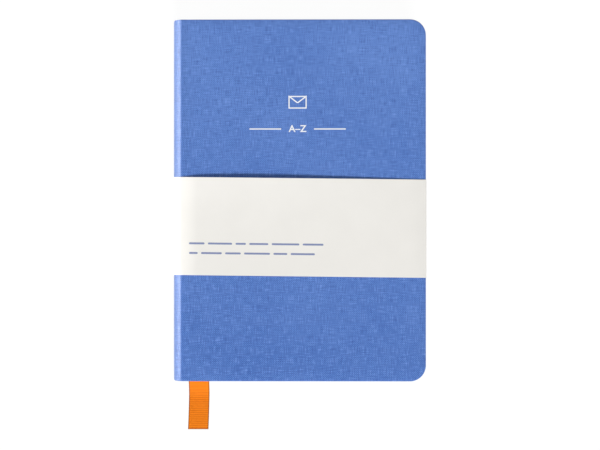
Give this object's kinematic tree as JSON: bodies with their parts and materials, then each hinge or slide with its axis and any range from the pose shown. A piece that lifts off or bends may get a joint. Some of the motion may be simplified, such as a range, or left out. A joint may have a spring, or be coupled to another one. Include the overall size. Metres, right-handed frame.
{
  "type": "address book",
  "caption": "Cloth-covered address book with a rounded spine, stepped letter sections, a ribbon marker and a paper wrap band; covers and leaves open about the spine.",
  "frame": {"origin": "on the table, under the middle of the closed book, on the lower face of the paper wrap that the book rests on", "axes": "+X from the spine to the fore-edge, +Y from the tail to the head, +Z from the back cover to the front cover"},
  "size_m": [0.1474, 0.241, 0.0178],
  "materials": {
    "cover_linen": "blue linen book cloth, fine plain weave, matt",
    "board": "dense grey bookbinding board",
    "endpaper": "uncoated cream endpaper",
    "leaf_paper": "uncoated writing paper",
    "lining_gauze": "open cotton gauze",
    "sewing_thread": "white sewing thread",
    "head_band": "woven cotton band with a beaded edge",
    "ribbon": "orange ribbed ribbon",
    "wrap_paper": "uncoated off-white card-weight paper"
  },
  "bodies": {
    "back_cover": {"back_board": "board", "back_cover_cloth": "cover_linen", "back_pastedown": "endpaper", "back_lining_flap": "lining_gauze"},
    "spine": {"spine_cloth": "cover_linen", "spine_card": "board", "spine_lining": "lining_gauze", "signature_backs": "leaf_paper", "sewing_thread": "sewing_thread", "head_band": "head_band", "tail_band": "head_band", "ribbon_marker": "ribbon"},
    "front_cover": {"front_board": "board", "front_cover_cloth": "cover_linen", "front_pastedown": "endpaper", "front_lining_flap": "lining_gauze"},
    "front_flyleaf": {"front_flyleaf": "endpaper"},
    "back_flyleaf": {"back_flyleaf": "endpaper"},
    "wrap_spine": {"wrap_spine": "wrap_paper"},
    "wrap_front": {"wrap_front_panel": "wrap_paper", "wrap_front_turn": "wrap_paper", "wrap_front_flap": "wrap_paper"},
    "wrap_back": {"wrap_back_panel": "wrap_paper", "wrap_back_turn": "wrap_paper", "wrap_back_flap": "wrap_paper"},
    "section_ab": {"section_ab": "leaf_paper"},
    "section_cd": {"section_cd": "leaf_paper"},
    "section_ef": {"section_ef": "leaf_paper"},
    "section_gh": {"section_gh": "leaf_paper"},
    "section_ij": {"section_ij": "leaf_paper"},
    "section_kl": {"section_kl": "leaf_paper"},
    "section_mn": {"section_mn": "leaf_paper"},
    "section_op": {"section_op": "leaf_paper"},
    "section_qr": {"section_qr": "leaf_paper"},
    "section_st": {"section_st": "leaf_paper"},
    "section_uv": {"section_uv": "leaf_paper"},
    "section_wx": {"section_wx": "leaf_paper"},
    "section_yz": {"section_yz": "leaf_paper"}
  },
  "joints": [
    {"name": "back_joint", "type": "hinge", "parent": "back_cover", "child": "spine", "pos_m": [-0.0686, 0, 0.0003], "axis": [0, -1, 0], "range_deg": [0, 90]},
    {"name": "front_joint", "type": "hinge", "parent": "spine", "child": "front_cover", "pos_m": [-0.0686, 0, 0.01745], "axis": [0, -1, 0], "range_deg": [0, 90]},
    {"name": "front_flyleaf_turn", "type": "hinge", "parent": "spine", "child": "front_flyleaf", "pos_m": [-0.067, 0, 0.01468], "axis": [0, -1, 0], "range_deg": [0, 74]},
    {"name": "section_mn_turn", "type": "hinge", "parent": "spine", "child": "section_mn", "pos_m": [-0.067, 0, 0.00905], "axis": [0, -1, 0], "range_deg": [0, 10]},
    {"name": "section_kl_turn", "type": "hinge", "parent": "spine", "child": "section_kl", "pos_m": [-0.067, 0, 0.0099], "axis": [0, -1, 0], "range_deg": [0, 20]},
    {"name": "section_ij_turn", "type": "hinge", "parent": "spine", "child": "section_ij", "pos_m": [-0.067, 0, 0.01075], "axis": [0, -1, 0], "range_deg": [0, 30]},
    {"name": "section_gh_turn", "type": "hinge", "parent": "spine", "child": "section_gh", "pos_m": [-0.067, 0, 0.0116], "axis": [0, -1, 0], "range_deg": [0, 40]},
    {"name": "section_ef_turn", "type": "hinge", "parent": "spine", "child": "section_ef", "pos_m": [-0.067, 0, 0.01245], "axis": [0, -1, 0], "range_deg": [0, 50.01]},
    {"name": "section_cd_turn", "type": "hinge", "parent": "spine", "child": "section_cd", "pos_m": [-0.067, 0, 0.0133], "axis": [0, -1, 0], "range_deg": [0, 60.01]},
    {"name": "section_ab_turn", "type": "hinge", "parent": "spine", "child": "section_ab", "pos_m": [-0.067, 0, 0.01415], "axis": [0, -1, 0], "range_deg": [0, 70.01]},
    {"name": "section_op_turn", "type": "hinge", "parent": "spine", "child": "section_op", "pos_m": [-0.067, 0, 0.00785], "axis": [0, 1, 0], "range_deg": [0, 11.67]},
    {"name": "section_qr_turn", "type": "hinge", "parent": "spine", "child": "section_qr", "pos_m": [-0.067, 0, 0.007], "axis": [0, 1, 0], "range_deg": [0, 23.34]},
    {"name": "section_st_turn", "type": "hinge", "parent": "spine", "child": "section_st", "pos_m": [-0.067, 0, 0.00615], "axis": [0, 1, 0], "range_deg": [0, 35.01]},
    {"name": "section_uv_turn", "type": "hinge", "parent": "spine", "child": "section_uv", "pos_m": [-0.067, 0, 0.0053], "axis": [0, 1, 0], "range_deg": [0, 46.67]},
    {"name": "section_wx_turn", "type": "hinge", "parent": "spine", "child": "section_wx", "pos_m": [-0.067, 0, 0.00445], "axis": [0, 1, 0], "range_deg": [0, 58.34]},
    {"name": "section_yz_turn", "type": "hinge", "parent": "spine", "child": "section_yz", "pos_m": [-0.067, 0, 0.0036], "axis": [0, 1, 0], "range_deg": [0, 70.01]},
    {"name": "back_flyleaf_turn", "type": "hinge", "parent": "spine", "child": "back_flyleaf", "pos_m": [-0.067, 0, 0.00308], "axis": [0, 1, 0], "range_deg": [0, 74]},
    {"name": "wrap_slide", "type": "slide", "parent": "spine", "child": "wrap_spine", "axis": [0, 1, 0], "range_m": [0, 0.15]},
    {"name": "wrap_front_fold", "type": "hinge", "parent": "wrap_spine", "child": "wrap_front", "pos_m": [-0.0686, 0, 0.01745], "axis": [0, -1, 0], "range_deg": [0, 90]},
    {"name": "wrap_back_fold", "type": "hinge", "parent": "wrap_spine", "child": "wrap_back", "pos_m": [-0.0686, 0, 0.0003], "axis": [0, 1, 0], "range_deg": [0, 90]}
  ],
  "couplings": [
    {"joint": "front_flyleaf_turn", "follows": "front_joint", "ratio": 0.82222},
    {"joint": "section_mn_turn", "follows": "front_joint", "ratio": 0.11111},
    {"joint": "section_kl_turn", "follows": "front_joint", "ratio": 0.22222},
    {"joint": "section_ij_turn", "follows": "front_joint", "ratio": 0.33333},
    {"joint": "section_gh_turn", "follows": "front_joint", "ratio": 0.44444},
    {"joint": "section_ef_turn", "follows": "front_joint", "ratio": 0.55556},
    {"joint": "section_cd_turn", "follows": "front_joint", "ratio": 0.66667},
    {"joint": "section_ab_turn", "follows": "front_joint", "ratio": 0.77778},
    {"joint": "section_op_turn", "follows": "back_joint", "ratio": 0.12963},
    {"joint": "section_qr_turn", "follows": "back_joint", "ratio": 0.25926},
    {"joint": "section_st_turn", "follows": "back_joint", "ratio": 0.38889},
    {"joint": "section_uv_turn", "follows": "back_joint", "ratio": 0.51852},
    {"joint": "section_wx_turn", "follows": "back_joint", "ratio": 0.64815},
    {"joint": "section_yz_turn", "follows": "back_joint", "ratio": 0.77778},
    {"joint": "back_flyleaf_turn", "follows": "back_joint", "ratio": 0.82222},
    {"joint": "wrap_front_fold", "follows": "front_joint", "ratio": 1},
    {"joint": "wrap_back_fold", "follows": "back_joint", "ratio": 1}
  ]
}
